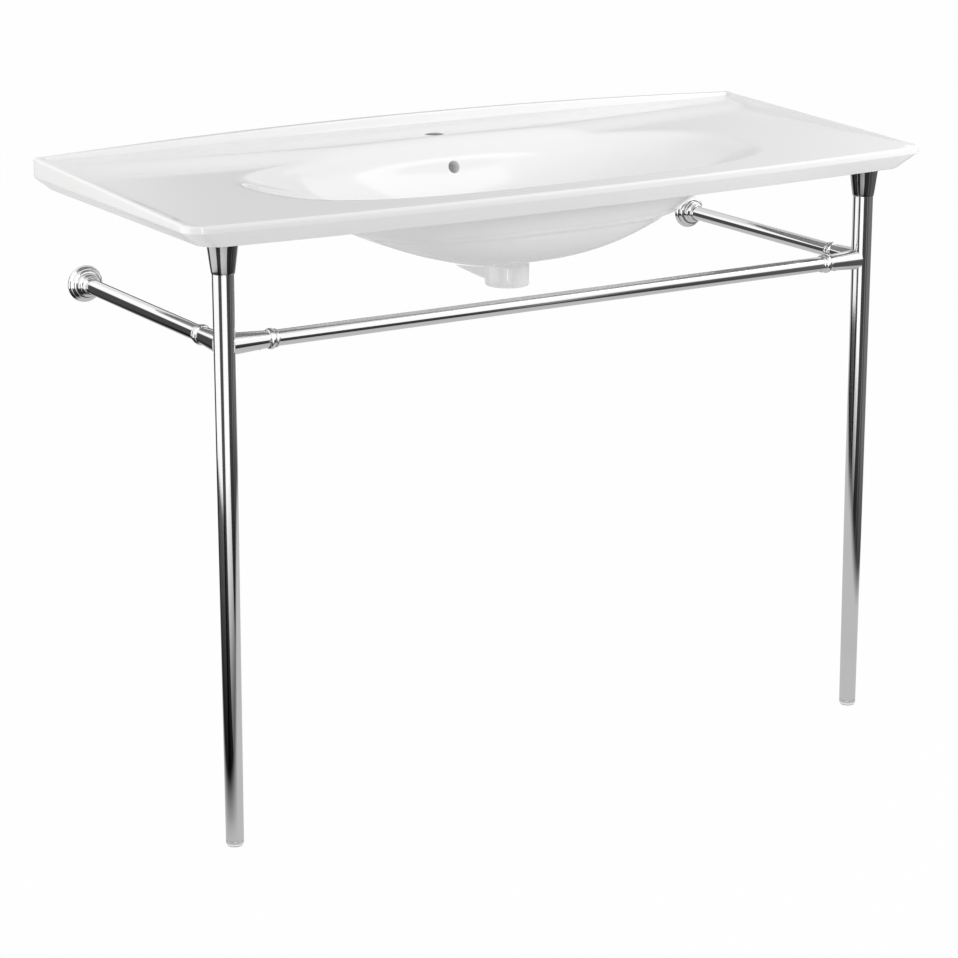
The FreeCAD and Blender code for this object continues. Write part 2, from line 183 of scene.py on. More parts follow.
def makeGlaze():
    material, tree, shader = newMaterial("whiteGlaze", **{"IOR": 1.5})
    cloud = objectNoise(tree, glaze["cloudScale"], 2.0)
    setColour(tree, shader, ramp(tree, cloud, 0.35, 0.75, 0, 1), glaze["colour"], glaze["warm"])
    fine = objectNoise(tree, glaze["fineScale"], 3.0)
    setRoughness(tree, shader, fine, 0.7, glaze["roughness"])
    wave = objectNoise(tree, glaze["waveScale"], 1.0)
    setBump(tree, shader, wave, glaze["ripple"], 0.01)
    return material


clay = dict(roughness=0.9, grainScale=420.0, grainStrength=0.3, grainDepth=0.0006)


def makeClay(name, light, dark):
    material, tree, shader = newMaterial(name, **{"Roughness": clay["roughness"]})
    grain = objectNoise(tree, clay["grainScale"], 6.0, 0.7)
    setColour(tree, shader, ramp(tree, grain, 0.3, 0.7, 0, 1), light, dark)
    setBump(tree, shader, grain, clay["grainStrength"], clay["grainDepth"])
    return material


chrome = dict(
    colour=(0.79, 0.79, 0.795, 1),
    shade=(0.76, 0.76, 0.768, 1),
    capital=0.56,                         # the capitals look darker than the tubes; painted shade: their chrome is darkened to stand in for those darker reflections
    roughness=(0.06, 0.095),
    smearScale=9.0, lineScale=40.0, lineStrength=0.006, lineDepth=0.0004,
)


def makeChrome(name, along, shadeTone=1.0):
    # along: stretch of the faint polishing lines, short across and long along the tube; shadeTone darkens the
    # colour as painted shade
    material, tree, shader = newMaterial(name, **{"Metallic": 1.0})
    smear = objectNoise(tree, chrome["smearScale"], 4.0)
    bright, dull = ([shadeTone * part for part in chrome[key][:3]] + [1] for key in ("colour", "shade"))
    setColour(tree, shader, ramp(tree, smear, 0.35, 0.7, 0, 1), bright, dull)
    lines = objectNoise(tree, chrome["lineScale"], 4.0, 0.6, along)
    setRoughness(tree, shader, lines, 0.72, chrome["roughness"])
    setBump(tree, shader, lines, chrome["lineStrength"], chrome["lineDepth"])
    return material


steel = dict(
    dark=(0.42, 0.42, 0.43, 1), light=(0.62, 0.62, 0.62, 1), roughness=(0.25, 0.42),
    lineScale=900.0, lineStretch=(1, 1, 0.15),
)


def makeSteel():
    material, tree, shader = newMaterial("turnedSteel", **{"Metallic": 1.0})
    lines = objectNoise(tree, steel["lineScale"], 3.0, 0.6, steel["lineStretch"])
    setColour(tree, shader, lines, steel["dark"], steel["light"])
    setRoughness(tree, shader, lines, 0.7, steel["roughness"])
    return material


soft = dict(roughness=(0.55, 0.75), grainScale=700.0, grainStrength=0.25, grainDepth=0.0003)


def makeSoft(name, colour, darker):
    material, tree, shader = newMaterial(name, **{"IOR": 1.48})
    grain = objectNoise(tree, soft["grainScale"], 5.0, 0.65)
    setColour(tree, shader, grain, colour, darker)
    setRoughness(tree, shader, grain, 0.7, soft["roughness"])
    setBump(tree, shader, grain, soft["grainStrength"], soft["grainDepth"])
    return material


uprightLines, crossLines, backLines, noLines = (14, 14, 0.25), (0.25, 14, 14), (14, 0.25, 14), (1, 1, 1)
whiteGlaze = makeGlaze()
# bare clay darkened far below its own colour, as painted shade down the bolt holes
bareShadedClay = makeClay("bareShadedClay", (0.31, 0.295, 0.27, 1), (0.20, 0.19, 0.17, 1))
# clay darkened as painted shade, for the recess under the deck and the tap's bore; the recess has no glaze
shadedUnderClay = makeClay("shadedUnderClay", (0.46, 0.45, 0.435, 1), (0.38, 0.37, 0.355, 1))
legChrome = makeChrome("legChrome", uprightLines)
capitalShadedChrome = makeChrome("capitalShadedChrome", uprightLines, chrome["capital"])
barChrome = makeChrome("barChrome", crossLines)
railChrome = makeChrome("railChrome", backLines)
smallChrome = makeChrome("smallChrome", noLines)
turnedSteel = makeSteel()
padRubber = makeSoft("padRubber", (0.10, 0.10, 0.10, 1), (0.06, 0.06, 0.06, 1))
glideFelt = makeSoft("glideFelt", (0.50, 0.50, 0.49, 1), (0.42, 0.42, 0.41, 1))
plugPlastic = makeSoft("plugPlastic", (0.05, 0.05, 0.05, 1), (0.03, 0.03, 0.03, 1))
print("materials made")


# basin, one closed surface: rings of points up the drain's bore and the bowl, over the deck, down the
# edge, in under the apron, across the recess and down the outside of the bowl

basin = dict(
    width=1200, depth=521, deck=870.0, crease=859.5, under=838.0,
    frontBow=26, corner=30, edgeRound=3.5, creaseRound=1.6, backCorner=3,
    sideInset=28, frontInset=16, apron=24, deckThickness=15, backWall=20,
    rimRise=17, rimTop=9, rimFade=7, rimSink=2.5, rimBlend=1.5, rimFoot=2.5,
    upstand=14, upstandBow=14, upstandFall=7, upstandBlend=3.0, upstandFoot=7.0,
    ledgeRise=12, ledgeBow=4, ledgeMiddle=150, ledgeEnd=74, ledgeSlope=42,
    coveStart=2, coveRise=4.0, coveReach=17,
    bowlWall=12, bowlEdge=(16, 32), bowlEdgeFrom=150, bowlEdgeOver=230,
    drain=295, bore=23, boreLip=1.5, seat=32, seatDrop=2.5, boss=32.5, bossRound=2.2, bossBottom=177,
    ridgeLevel=62, ridgeRise=3.0, ridgeWidth=3.6,
    ceilingLift=8.0, liftFromWall=112, liftOver=10,
    sharpAngle=40,
)
# bowl: level below the deck, half width, front and rear distance from the wall
bowlLevels = np.array([
    (-60, 446, 503, 104), (-16, 400, 476, 126), (0, 384, 468, 133), (9, 366, 456, 139), (28, 316, 442, 147),
    (55, 262, 430, 158), (83, 203, 412, 175), (106, 143, 385, 199), (119, 96, 357, 226), (126, 60, 334, 258),
], float)
frontPower, rearPower, widestShare = 3.1, 2.4, 0.45
stretches = dict(back=168, backCorner=4, side=88, frontCorner=14, front=168)   # points along the outline
# where the deck's rings lie: share of the way from the bowl to the inner loop, then insets from the outline
innerInset = 26.0
deckShares = (0.02, 0.05, 0.085, 0.125, 0.17, 0.22, 0.275, 0.33, 0.39, 0.45, 0.51, 0.57, 0.63, 0.69, 0.75,
              0.81, 0.87, 0.93, 1.0)
rimInsets = (23, 20.5, 18.8, 17.4, 16.2, 15.2, 14.3, 13.2, 12.0, 10.8, 9.6, 8.2, 6.5, 5.0)

wallY = basin["depth"] / 2
half = basin["width"] / 2
bowlSteps = np.hypot(np.diff(bowlLevels[:, 0]), np.diff(bowlLevels[:, 1]))
knots = np.concatenate([[0], np.cumsum(bowlSteps)])


def planLoop(side, front, back, corner):
    # straight back and sides, arcs of a circle at the front corners, one long arc along the front
    w = half - side
    near = wallY - basin["depth"] + front
    far = wallY - back
    bow = (half ** 2 + basin["frontBow"] ** 2) / (2 * basin["frontBow"])
    centre = near + bow
    cornerX = w - corner
    cornerY = centre - math.sqrt((bow - corner) ** 2 - cornerX ** 2)
    lean = math.asin(cornerX / (bow - corner))
    small = max(basin["backCorner"] - 0.5 * max(side, back), 0.5)

    def part(n):
        return np.arange(n) / n

    def arc(x, y, radius, start, end, n):
        turn = start + (end - start) * part(n)
        return np.stack([x + radius * np.cos(turn), y + radius * np.sin(turn)], 1)

    def line(x0, y0, x1, y1, n):
        s = part(n)
        return np.stack([x0 + (x1 - x0) * s, y0 + (y1 - y0) * s], 1)

    return np.concatenate([
        line(w - small, far, small - w, far, stretches["back"]),
        arc(small - w, far - small, small, math.pi / 2, math.pi, stretches["backCorner"]),
        line(-w, far - small, -w, cornerY, stretches["side"]),
        arc(-cornerX, cornerY, corner, math.pi, 1.5 * math.pi - lean, stretches["frontCorner"]),
        arc(0, centre, bow, 1.5 * math.pi - lean, 1.5 * math.pi + lean, stretches["front"]),
        arc(cornerX, cornerY, corner, 1.5 * math.pi + lean, 2 * math.pi, stretches["frontCorner"]),
        line(w, cornerY, w, far - small, stretches["side"]),
        arc(w - small, far - small, small, 0, math.pi / 2, stretches["backCorner"]),
    ])


def bowlSize(u):
    # level, half width, front and rear distance from the wall at a place u along the bowl's profile
    return [naturalSpline(knots, bowlLevels[:, k], u) for k in range(4)]


def ovalLoop(u, turn, grow=0.0):
    # oval of the bowl at u: radius in direction turn solves |cos|^p + |sin|^p = 1
    w, front, rear = bowlSize(np.atleast_1d(u))[1:]
    w, front, rear = w + grow, front + grow, rear - grow
    middle = rear + (front - rear) * widestShare
    ahead = np.sin(turn) < 0
    power = np.where(ahead, frontPower, rearPower)
    reach = np.where(ahead, front - middle, middle - rear)
    radius = (np.abs(np.cos(turn)) ** power + np.abs(np.sin(turn)) ** power) ** (-1 / power)
    return np.stack([w * radius * np.cos(turn), wallY - middle + reach * radius * np.sin(turn)], 1)


def bowlHeight(x, y):
    # level of the oval that passes through each point, found by halving
    low = np.zeros_like(x)
    high = np.full_like(x, knots[-1])
    for halving in range(26):
        u = (low + high) / 2
        w, front, rear = bowlSize(u)[1:]
        middle = wallY - (rear + (front - rear) * widestShare)
        ahead = y < middle
        power = np.where(ahead, frontPower, rearPower)
        reach = np.where(ahead, middle - (wallY - front), wallY - rear - middle)
        outside = np.abs(x / w) ** power + np.abs((y - middle) / reach) ** power > 1
        high = np.where(outside, u, high)
        low = np.where(outside, low, u)
    return -bowlSize((low + high) / 2)[0]


def topHeight(x, y):
    # deck, tap ledge, upstand and side rims, each the higher of its neighbours; the bowl cuts into them
    b = basin
    fromWall = wallY - y
    fromSide = half - np.abs(x)
    across = (x / half) ** 2
    line = b["ledgeEnd"] + (b["ledgeMiddle"] - b["ledgeEnd"]) * (1 - across) ** 2
    rise = np.clip((line + b["ledgeSlope"] / 2 - fromWall) / b["ledgeSlope"], 0, 1)
    ledge = (b["ledgeRise"] - b["ledgeBow"] * across) * rise * rise * (3 - 2 * rise)
    intoCove = np.maximum(fromWall - b["upstand"] - b["coveStart"], 0)
    ledge = ledge + b["coveRise"] * np.exp(-intoCove / b["coveReach"])
    crest = b["rimRise"] + b["upstandBow"] * (1 - across)
    upstand = smoothMin(crest, crest - b["upstandFall"] * (fromWall - b["upstand"]), b["upstandBlend"])
    rimEnd = wallY - b["depth"] + b["frontBow"] + b["corner"]
    rimCrest = b["rimRise"] * np.clip((y - rimEnd) / (wallY - rimEnd), 0, 1)
    rimFace = (rimCrest + b["rimSink"]) * np.exp((b["rimTop"] - fromSide) / b["rimFade"]) - b["rimSink"]
    rim = smoothMin(rimCrest, rimFace, b["rimBlend"])
    height = smoothMax(ledge, upstand, b["upstandFoot"])
    height = smoothMax(height, rim, b["rimFoot"])
    share = np.clip((y + b["bowlEdgeFrom"]) / b["bowlEdgeOver"], 0, 1)
    frontEdge, rearEdge = b["bowlEdge"]
    edge = frontEdge + (rearEdge - frontEdge) * share * share * (3 - 2 * share)
    return smoothMin(height, bowlHeight(x, y), edge)


def ceilingLift(plan):
    # the ceiling of the recess is higher under the tap ledge
    fromWall = wallY - plan[:, 1]
    return basin["ceilingLift"] * np.clip((basin["liftFromWall"] - fromWall) / basin["liftOver"], 0, 1)


def quarterTurn(share):
    # round a quarter circle: what is gone in one direction and what is left in the other, from 0 to 1
    return 1 - math.cos(share * math.pi / 2), 1 - math.sin(share * math.pi / 2)


def makeBasin():
    b = basin
    deck = b["deck"]
    rows = []

    def ring(plan, z):
        rows.append(np.column_stack([plan, np.broadcast_to(z, len(plan))]))

    def topRing(plan, drop=0):
        ring(plan, deck + topHeight(plan[:, 0], plan[:, 1]) - drop)

    def circle(radius, z):
        ring(np.stack([radius * np.cos(drainTurn), drainY + radius * np.sin(drainTurn)], 1), z)

    def insetLoop(inset):
        return planLoop(inset, inset, inset, b["corner"] - inset)

    def underLoop(inset, frontInset, backInset, corner):
        side, front = b["sideInset"] + inset, b["frontInset"] + frontInset
        return planLoop(side, front, backInset, b["corner"] + corner)

    # the direction of each column as seen from the bowl's middle and from the drain
    inner = insetLoop(innerInset)
    w, front, rear = bowlSize(knots[2:3])[1:]
    middle = wallY - (rear + (front - rear) * widestShare)
    reach = np.where(inner[:, 1] < middle, middle - (wallY - front), wallY - rear - middle)
    turn = np.arctan2((inner[:, 1] - middle) / reach, inner[:, 0] / w)
    floorOval = ovalLoop(knots[-1], turn)
    drainY = wallY - b["drain"]
    drainTurn = np.arctan2(floorOval[:, 1] - drainY, floorOval[:, 0])

    # up the bore, round its lip, over the seat and its step
    bottom, floor = deck - b["bossBottom"], deck - bowlLevels[-1, 0]
    seatZ = floor - b["seatDrop"]
    lip = b["boreLip"]
    for z in np.linspace(bottom + lip, seatZ - lip, 5):
        circle(b["bore"], z)
    for share in (0.5, 1.0):
        out, up = quarterTurn(share)
        circle(b["bore"] + lip * out, seatZ - lip * up)
    for extra, z in ((-1.2, seatZ), (-0.3, seatZ + 0.5), (0.1, floor - 1.6), (1.3, floor - 0.9)):
        circle(b["seat"] + extra, z)

    # bowl, from its floor up to its edge, then the deck, the ledge and the inner side of the rims
    for u in np.concatenate([np.linspace(knots[-1], knots[4], 34), np.linspace(knots[4], knots[2], 14)[1:]]):
        topRing(ovalLoop(u, turn))
    edge = rows[-1][:, :2]
    for share in deckShares:
        topRing(edge + (inner - edge) * share)
    for inset in rimInsets:
        topRing(insetLoop(inset))

    # rounded top edge, upright fascia, crease and undercut
    r = b["edgeRound"]
    for share in np.linspace(0.0, 1.0, 6):
        down, inward = quarterTurn(share)
        plan = insetLoop(r * inward)
        atWall = (plan[:, 1] > wallY - r - 0.01) & (np.abs(plan[:, 0]) < half - r)
        topRing(plan, np.where(atWall, 0.5, 1.0) * r * down)
    outline = insetLoop(0.0)
    topZ = rows[-1][:, 2]
    creaseTop = b["crease"] + b["creaseRound"]
    for share in (0.35, 0.7):
        ring(outline, topZ + (creaseTop - topZ) * share)
    ring(outline, creaseTop)
    for drop, inset in ((0.9, 0.15), (1.6, 0.62), (2.4, 1.45)):
        ring(planLoop(inset, inset * 0.7, 0, b["corner"]), creaseTop - drop)
    for share in (0.3, 0.6, 0.93):
        plan = planLoop(b["sideInset"] * share, b["frontInset"] * share, 0, b["corner"])
        ring(plan, b["crease"] + (b["under"] - b["crease"]) * share)

    # under the apron and up into the recess
    apron, back = b["apron"], b["backWall"]
    for extra, lift in ((-0.4, 0.5), (1.2, 0.0), (apron - 2.0, 0.0), (apron - 0.4, 0.6), (apron, 2.5)):
        ring(underLoop(extra, extra, back * max(extra, 0) / apron, 0), b["under"] + lift)
    ceiling = deck - b["deckThickness"]
    recessStart = len(rows)
    ring(underLoop(apron, apron, back, 0), ceiling - 6)
    recessLoop = underLoop(apron + 4, apron + 2, back + 4, -4)
    recessZ = ceiling + ceilingLift(recessLoop)
    ring(underLoop(apron + 1, apron + 0.7, back + 1, -1), recessZ - 1.5)
    ring(recessLoop, recessZ)

    # ceiling of the recess, then down the outside of the bowl with its faint ridge
    wall = b["bowlWall"]
    outerStart = knots[2] + 0.55 * (knots[3] - knots[2])
    outer = ovalLoop(outerStart, turn, wall)
    for share in (0.15, 0.3, 0.45, 0.6, 0.75, 0.88):
        plan = recessLoop + (outer - recessLoop) * share
        ring(plan, smoothMin(ceiling + ceilingLift(plan), ceiling + 8.0 * (1 - share), 2.0))
    recessEnd = len(rows)
    ridge = np.interp(b["ridgeLevel"], bowlLevels[:, 0], knots)
    ladder = [np.linspace(outerStart, knots[5] - 2, 14), ridge + np.linspace(-18, 18, 17),
              np.linspace(ridge + 24, knots[-1], 15)]
    for u in np.concatenate(ladder):
        level = bowlSize(np.atleast_1d(u))[0]
        rise = b["ridgeRise"] * np.exp(-((level - b["ridgeLevel"]) / b["ridgeWidth"]) ** 2)
        ring(ovalLoop(u, turn, wall + rise[0]), deck - level - wall)

    # boss of the drain, rounded at its lower edge, and back to the bore
    base = floor - wall
    for extra, drop in ((7, 0.6), (4.0, 1.6), (1.6, 3.6), (0.3, 6.5), (0.0, 9.5)):
        circle(b["boss"] + extra, base - drop)
    circle(b["boss"], bottom + 16)
    for share in (0.0, 0.33, 0.67, 1.0):
        inward, up = quarterTurn(share)
        circle(b["boss"] - b["bossRound"] * inward, bottom + b["bossRound"] * up)
    circle(b["bore"] + lip, bottom)
    circle(b["bore"] + 0.4, bottom + 0.4)

    rows = np.array(rows)
    print("basin rings:", rows.shape)
    columns = rows.shape[1]
    body = makePiece("basinBody", rows.reshape(-1, 3), gridFaces(len(rows), columns, True), "sink",
                     whiteGlaze, b["sharpAngle"])
    # the recess under the deck has no glaze; its bare clay is darkened as painted shade under the basin
    body.data.materials.append(shadedUnderClay)
    row = np.arange(len(body.data.polygons)) // columns
    unglazedShaded = (row >= recessStart - 1) & (row < recessEnd)
    body.data.polygons.foreach_set("material_index", unglazedShaded.astype(np.int32))
    return body


def triangleCount(piece):
    return sum(len(polygon.vertices) - 2 for polygon in piece.data.polygons)


basinBody = makeBasin()
print("basin triangles:", triangleCount(basinBody))


# turned parts: a profile of (radius, distance along) carried round an axis

def turnedForm(profile, start, axis, first, around):
    # point = start + along * axis + radius * (cos a * first + sin a * second); profiles close on themselves
    profile = np.asarray(profile, float)
    second = np.cross(axis, first)
    turn = np.arange(around) / around * 2 * math.pi
    spoke = np.cos(turn)[:, None] * first + np.sin(turn)[:, None] * second
    points = np.asarray(start, float) + profile[:, 1, None, None] * axis + profile[:, 0, None, None] * spoke
    return points.reshape(-1, 3), gridFaces(len(profile), around, True)


def turnedPiece(name, profile, start, axis, body, material, replaces=(), around=96, sharpAngle=30):
    axis = np.asarray(axis, float)
    first = np.cross(axis, (0, 0, 1.0)) if abs(axis[2]) < 0.9 else np.array([1.0, 0, 0])
    points, faces = turnedForm(profile, start, axis, first, around)
    return makePiece(name, points, faces, body, material, sharpAngle, replaces)


def turnedTool(name, profile, start, axis, material, around=72):
    # a plain object for cutting with, along an axis in any direction but x
    axis = np.asarray(axis, float) / np.linalg.norm(axis)
    first = np.cross(axis, (1.0, 0, 0))
    first /= np.linalg.norm(first)
    points, faces = turnedForm(profile, start, axis, first, around)
    mesh = bpy.data.meshes.new(name)
    mesh.from_pydata((points * mm).tolist(), [], faces.tolist())
    mesh.materials.append(material)
    tool = bpy.data.objects.new(name, mesh)
    bpy.context.scene.collection.objects.link(tool)
    mergeAndTurnOut(tool)
    return tool


def mergeAndTurnOut(piece, distance=1e-6):
    work = bmesh.new()
    work.from_mesh(piece.data)
    bmesh.ops.remove_doubles(work, verts=work.verts, dist=distance)
    bmesh.ops.recalc_face_normals(work, faces=work.faces)
    work.to_mesh(piece.data)
    work.free()


def cutWith(piece, tools):
    # takes all the tools out of the piece; the cut walls keep the tool's own finish
    for tool in tools:
        modifier = piece.modifiers.new("cut", "BOOLEAN")
        modifier.operation = "DIFFERENCE"
        modifier.solver = "EXACT"
        modifier.material_mode = "TRANSFER"
        modifier.object = tool
    bpy.context.view_layer.update()
    evaluated = piece.evaluated_get(bpy.context.evaluated_depsgraph_get())
    mesh = bpy.data.meshes.new_from_object(evaluated)
    piece.modifiers.clear()
    old = piece.data
    piece.data = mesh
    bpy.data.meshes.remove(old)
    for tool in tools:
        bpy.data.objects.remove(tool)
    piece.data.set_sharp_from_angle(angle=math.radians(basin["sharpAngle"]))


def roundedCorner(radius, centre, start, end, n=5):
    # short arc in the profile plane, angles in degrees
    a = np.radians(np.linspace(start, end, n))
    return [(centre[0] + radius * math.cos(t), centre[1] + radius * math.sin(t)) for t in a]


metal = dict(
    legX=527, legFromWall=442, legBottom=7.8, legTop=816.5, legBottomRadius=12.3, legTopRadius=15.2,
    tubeWall=1.5, capitalTop=836.5, capitalBottom=794.5, capitalTopRadius=21.8, capitalBottomRadius=15.9,
    capitalSwell=0.1, capitalBore=4.1, capitalHead=18.5,
    barHeight=699, railRadius=11, railEnd=3,
    socketRoot=15.4, socketMouth=11.7, socketStart=8, socketLength=62, socketBore=26,
    footCap=6, footRound=1.0, footUpperRound=0.3, glide=1.5, glideRound=0.5,
    stemTurns=20, stemPitch=2, stemRadius=3.55, crestRadius=3.98,
)
legY = wallY - metal["legFromWall"]
# each bead: how far it stands out, half its length and its middle along the rail
collar = dict(length=16, base=0.25, bead=(2.95, 4.4, 4.9), ring=(1.5, 2.1, 12.2), groove=9.7, smallest=0.05)
# each step: radius, how far from the wall it reaches and the rounding of its edge
rose = dict(
    steps=[(26.5, 6.0, 4.4), (22.5, 12.0, 4.4), (17.0, 19.0, 4.4), (14.0, 26.0, 2.4)],
    bore=11.08, hollow=20.3, hollowDepth=8.2,
)


def legProfile():
    m = metal
    low, high, r0, r1 = m["legBottom"], m["legTop"], m["legBottomRadius"], m["legTopRadius"]
    outer = [(r0 + (r1 - r0) * s, low + (high - low) * s) for s in np.linspace(0, 1, 24)]
    outer[:1] = [(r0 - 0.3, low), (r0 - 0.08, low + 0.12), (r0, low + 0.4)]
    return outer + [(r1 - m["tubeWall"], high), (r0 - m["tubeWall"], low)]


def capitalProfile():
    m = metal
    low, high, r0, r1 = m["capitalBottom"], m["capitalTop"], m["capitalBottomRadius"], m["capitalTopRadius"]
    lower = [(r0 - 0.6, low), (r0 - 0.15, low + 0.2), (r0, low + 0.7)]
    flare = [(r0 + (r1 - r0) * s + m["capitalSwell"] * math.sin(2 * math.pi * s), low + (high - low) * s)
             for s in np.linspace(0.05, 0.96, 14)]
    upper = [(r1 - 0.05, high - 0.8), (r1 - 0.3, high - 0.2), (r1 - 0.8, high)]
    bore, hollow, ceiling = m["capitalBore"], m["legTopRadius"], high - m["capitalHead"]
    inside = [(bore, high), (bore, ceiling), (hollow + 0.1, ceiling - 0.5), (hollow + 0.05, low + 0.3)]
    return lower + flare + upper + inside


def footProfile():
    m = metal
    r, low, high = m["legBottomRadius"], m["glide"], m["glide"] + m["footCap"]
    lower = roundedCorner(m["footRound"], (r - m["footRound"], low + m["footRound"]), -90, 0, 6)
    small = m["footUpperRound"]
    upper = roundedCorner(small, (r - small, high - small), 0, 90, 4)
    stem = []
    for i in range(m["stemTurns"]):        # thread crests on the stem, hidden in the leg at rest
        z = high + 2 + i * m["stemPitch"]
        stem += [(m["stemRadius"], z), (m["crestRadius"], z + 0.7), (m["crestRadius"], z + 1.1),
                 (m["stemRadius"], z + 1.8)]
    return [(0.02, low)] + lower + upper + [(4.0, high)] + stem + [(0.02, stem[-1][1])]


def glideProfile():
    m = metal
    r, small = m["legBottomRadius"] - m["footRound"] - 0.3, m["glideRound"]
    lower = roundedCorner(small, (r - small, small), -90, 0, 4)
    return [(0.02, 0.0)] + lower + [(r, m["glide"]), (0.02, m["glide"])]


def socketProfile():
    # cone from inside the leg out to a rounded mouth
    m = metal
    r0, r1, start, length = m["socketRoot"], m["socketMouth"], m["socketStart"], m["socketLength"]
    cone = [(r0 + (r1 - r0) * s, length * s) for s in np.linspace(start / length, 0.985, 12)]
    mouth = [(r1 - 0.1, length - 0.3), (r1 - 0.4, length)]
    return cone + mouth + [(m["railRadius"] + 0.05, length), (m["railRadius"] + 0.05, start)]


def collarProfile():
    # a bold round bead at the socket, a groove, then a small ring on the rail
    c = collar
    r, n = metal["railRadius"], c["length"]
    angles = np.radians(np.linspace(-86, 86, 15))
    bead, ring = ([(r + c["base"] + out * math.cos(t), middle + reach * math.sin(t)) for t in turns]
                  for (out, reach, middle), turns in ((c["bead"], angles), (c["ring"], angles[::2])))
    end = [(r + 0.2, n - 0.9), (r + 0.2, n), (r + c["smallest"], n), (r + c["smallest"], 0.0)]
    return [(r + 0.2, 0.0)] + bead + [(r + 0.15, c["groove"])] + ring + end


def roseProfile():
    # three full beads and a neck, with a small cove at the foot of each, hollow behind
    steps = rose["steps"]
    points = [(steps[0][0] - 0.4, 0.0), (steps[0][0] - 0.05, 0.5)]
    for i, (radius, reach, rounding) in enumerate(steps):
        following = steps[i + 1][0] if i + 1 < len(steps) else 0
        share = (following + 0.6 - radius + rounding) / rounding
        last = math.degrees(math.acos(min(1, max(0, share))))
        points += roundedCorner(rounding, (radius - rounding, reach - rounding), 0, last, 10)
        if following:
            points += [(following + 0.25, points[-1][1] + 0.12), (following + 0.03, reach + 0.9)]
    depth = rose["hollowDepth"]
    return points + [(rose["bore"], steps[-1][1]), (rose["bore"], depth), (rose["hollow"], depth),
                     (rose["hollow"], 0.0)]


def tubeProfile(radius, length):
    inner = radius - metal["tubeWall"]
    return [(radius - 0.3, 0), (radius, 0.3), (radius, length - 0.3), (radius - 0.3, length),
            (inner, length), (inner, 0)]


def makeMetal():
    m = metal
    height, bright = m["barHeight"], "bright_metal"
    socket, ends = socketProfile(), collarProfile()
    bareRail = m["socketLength"] - m["socketBore"]   # from the leg's middle to where a rail starts
    up, back, forward = (0, 0, 1), (0, 1, 0), (0, -1, 0)
    for name, side in sides.items():
        x = side * m["legX"]
        across = (-side, 0, 0)
        base, hub, wall = (x, legY, 0), (x, legY, height), (x, wallY, height)
        crossMouth, railMouth = (np.array(hub) + np.array(way) * m["socketLength"] for way in (across, back))
        railStart = (x, legY + bareRail, height)
        rail = tubeProfile(m["railRadius"], wallY - m["railEnd"] - railStart[1])
        foot, roseBody = f"{name}_foot", f"{name}_rose"
        # piece, profile, start, axis, body, slot, material, replaced node, points round, sharp angle
        turned = [
            ("legTube", legProfile(), base, up, "sink", bright, legChrome, "leg_tube", 128, 30),
            ("legCapital", capitalProfile(), base, up, "sink", bright, capitalShadedChrome, "leg_capital", 128, 30),
            ("footCap", footProfile(), base, up, foot, bright, legChrome, "foot", 64, 30),
            ("footGlide", glideProfile(), base, up, foot, "soft_pad", glideFelt, "foot_glide", 64, 30),
            ("crossSocket", socket, hub, across, "sink", bright, barChrome, "cross_socket", 128, 30),
            ("railSocket", socket, hub, back, "sink", bright, railChrome, "rail_socket", 128, 30),
            ("crossCollar", ends, crossMouth, across, "sink", bright, smallChrome, "cross_collar", 96, 50),
            ("railCollar", ends, railMouth, back, "sink", bright, smallChrome, "rail_collar", 96, 50),
            ("sideRail", rail, railStart, back, "sink", bright, railChrome, "side_rail", 128, 30),
            ("wallRose", roseProfile(), wall, forward, roseBody, bright, smallChrome, "wall_rose", 128, 45),
        ]
        for piece, profile, start, axis, body, slot, material, node, around, sharpAngle in turned:
            turnedPiece(f"{piece}_{name}", profile, start, axis, body, material, [f"{node}_{name}"],
                        around, sharpAngle)
    inner = m["legX"] - bareRail
    bar = tubeProfile(m["railRadius"], 2 * inner)
    start, axis = (-inner, legY, height), (1, 0, 0)
    turnedPiece("crossBar", bar, start, axis, "sink", barChrome, ["cross_bar"], 128)


makeMetal()
print("metal made")


# holes of the basin and what is under it

holes = dict(
    tap=14, tapFromWall=90, tapLip=1.2, tapDepth=40,
    overflow=9, overflowLevel=29, overflowLip=1.2, overflowDepth=26,
    wallHole=7, wallSpacing=560, wallRise=16,
)
# the duct's web behind the bowl, and a smaller gap between its wall and the overflow's bore
web = dict(width=44, corner=9, stations=44, boreGap=1.5)
# its outer line and a line inside the bowl's wall, as distance from the wall and level below the deck
webOuter = [(112, 12), (112, 30), (119, 66), (134, 108), (158, 150), (175, 166), (200, 171), (262, 174.5),
            (292, 175)]
webInner = [(124, 12), (133, 15), (141, 34), (152, 61), (169, 89), (193, 112), (220, 125), (252, 132),
            (292, 134)]
legPad = dict(radius=34, edgeRound=2.5, intoDeck=10, bore=4.05)


def alongLine(line, n):
    # points evenly spaced along a smooth curve through the line's points
    line = np.asarray(line, float)
    reach = np.concatenate([[0], np.cumsum(np.hypot(*np.diff(line, axis=0).T))])
    at = np.linspace(0, reach[-1], n)
    return np.stack([naturalSpline(reach, line[:, k], at) for k in range(2)], 1)


